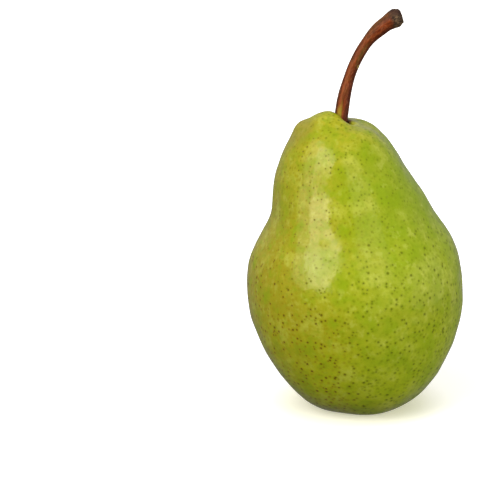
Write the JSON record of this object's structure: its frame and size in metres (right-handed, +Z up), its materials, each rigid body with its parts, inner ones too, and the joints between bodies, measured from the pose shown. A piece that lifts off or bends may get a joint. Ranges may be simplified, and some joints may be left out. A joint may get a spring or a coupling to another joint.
{
  "type": "pear",
  "caption": "Whole green pear with a bent woody stem and a dried calyx, standing upright on its base.",
  "frame": {"origin": "middle of the bounding box's bottom face, on the surface that the pear stands on, under the middle of its widest girth", "axes": "+Z up the fruit from its calyx end to its stem, -Y is the front, and the stem's tip bends towards +X"},
  "size_m": [0.0736, 0.0736, 0.137],
  "materials": {
    "skin": "satin",
    "bark": "satin",
    "dried_calyx": "matte"
  },
  "bodies": {
    "root": {"fruit": "skin", "stem": "bark", "calyx": "dried_calyx"}
  },
  "joints": []
}
